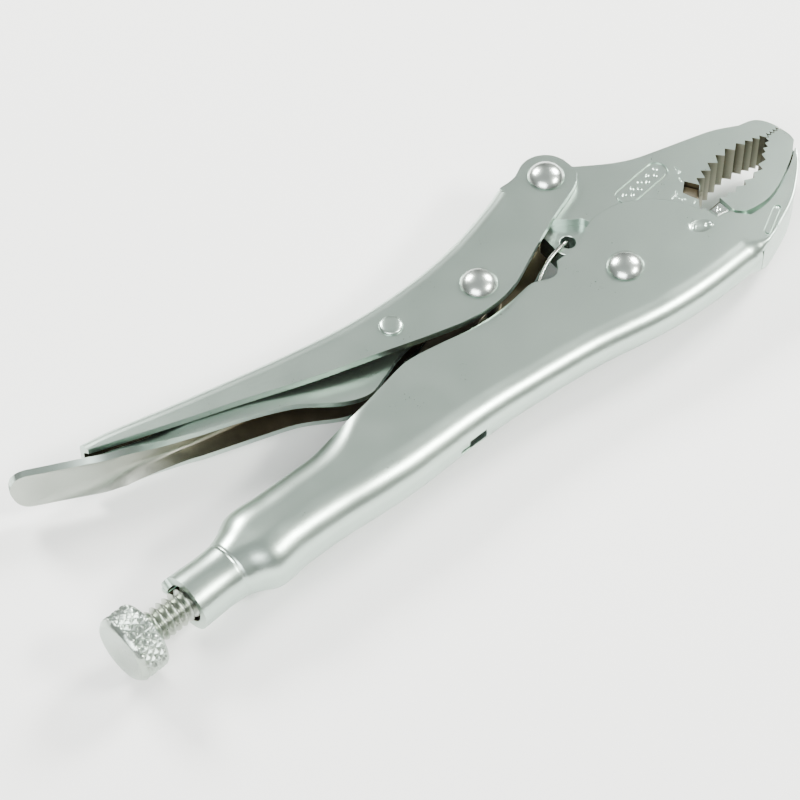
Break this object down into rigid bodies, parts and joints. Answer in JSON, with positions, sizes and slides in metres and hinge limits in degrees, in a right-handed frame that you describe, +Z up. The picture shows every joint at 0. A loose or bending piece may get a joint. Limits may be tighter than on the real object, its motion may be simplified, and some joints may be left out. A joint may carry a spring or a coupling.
{
  "type": "locking pliers",
  "caption": "Curved-jaw locking pliers with toothed jaws, wire cutter, toggle lock, release lever and a knurled adjusting screw; nickel-plated steel.",
  "frame": {"origin": "centre of the bottom of the box of the tool, lying on one side with its jaws closed", "axes": "+X along the adjusting screw towards the jaws, +Y from the fixed handle towards the movable handle, +Z up, across the tool, along the rivets"},
  "size_m": [0.247, 0.0834, 0.0237],
  "materials": {
    "satin_nickel": "satin nickel plate",
    "bright_nickel": "bright nickel plate",
    "dark_steel": "thin plate over dark steel"
  },
  "bodies": {
    "frame": {"fixed_handle": "satin_nickel", "fixed_jaw": "satin_nickel", "fixed_cutter": "bright_nickel", "main_pivot_rivet": "bright_nickel", "jaw_spring": "dark_steel"},
    "jaw": {"movable_jaw": "satin_nickel", "movable_cutter": "dark_steel"},
    "handle": {"movable_handle": "satin_nickel", "handle_rivet": "bright_nickel", "link_rivet": "bright_nickel", "release_rivet": "bright_nickel"},
    "link": {"toggle_link": "dark_steel"},
    "release": {"release_lever": "satin_nickel"},
    "screw_travel": {"screw_tip": "satin_nickel"},
    "screw": {"adjusting_screw": "satin_nickel", "knurled_knob": "bright_nickel"}
  },
  "joints": [
    {"name": "jaw_pivot", "type": "hinge", "parent": "frame", "child": "jaw", "pos_m": [0.05505, -0.02007, 0.01185], "axis": [0, 0, 1], "range_deg": [0, 24]},
    {"name": "handle_pivot", "type": "hinge", "parent": "jaw", "child": "handle", "pos_m": [0.06065, 0.01642, 0.01185], "axis": [0, 0, 1], "range_deg": [-62.9, 0]},
    {"name": "link_pivot", "type": "hinge", "parent": "handle", "child": "link", "pos_m": [0.02025, 0.00172, 0.01185], "axis": [0, 0, 1], "range_deg": [0, 72.1]},
    {"name": "release_pivot", "type": "hinge", "parent": "handle", "child": "release", "pos_m": [-0.00725, 0.00722, 0.01185], "axis": [0, 0, 1], "range_deg": [0, 8]},
    {"name": "screw_feed", "type": "slide", "parent": "frame", "child": "screw_travel", "axis": [-1, 0, 0], "range_m": [0, 0.012]},
    {"name": "screw_turn", "type": "hinge", "parent": "screw_travel", "child": "screw", "pos_m": [-0.10995, -0.01738, 0.01185], "axis": [-1, 0, 0], "range_deg": [0, 2160]}
  ],
  "couplings": [
    {"joint": "handle_pivot", "follows": "jaw_pivot", "ratio": -2.62},
    {"joint": "link_pivot", "follows": "jaw_pivot", "ratio": 3},
    {"joint": "screw_turn", "follows": "screw_feed", "rad_per_m": 3141.6}
  ]
}
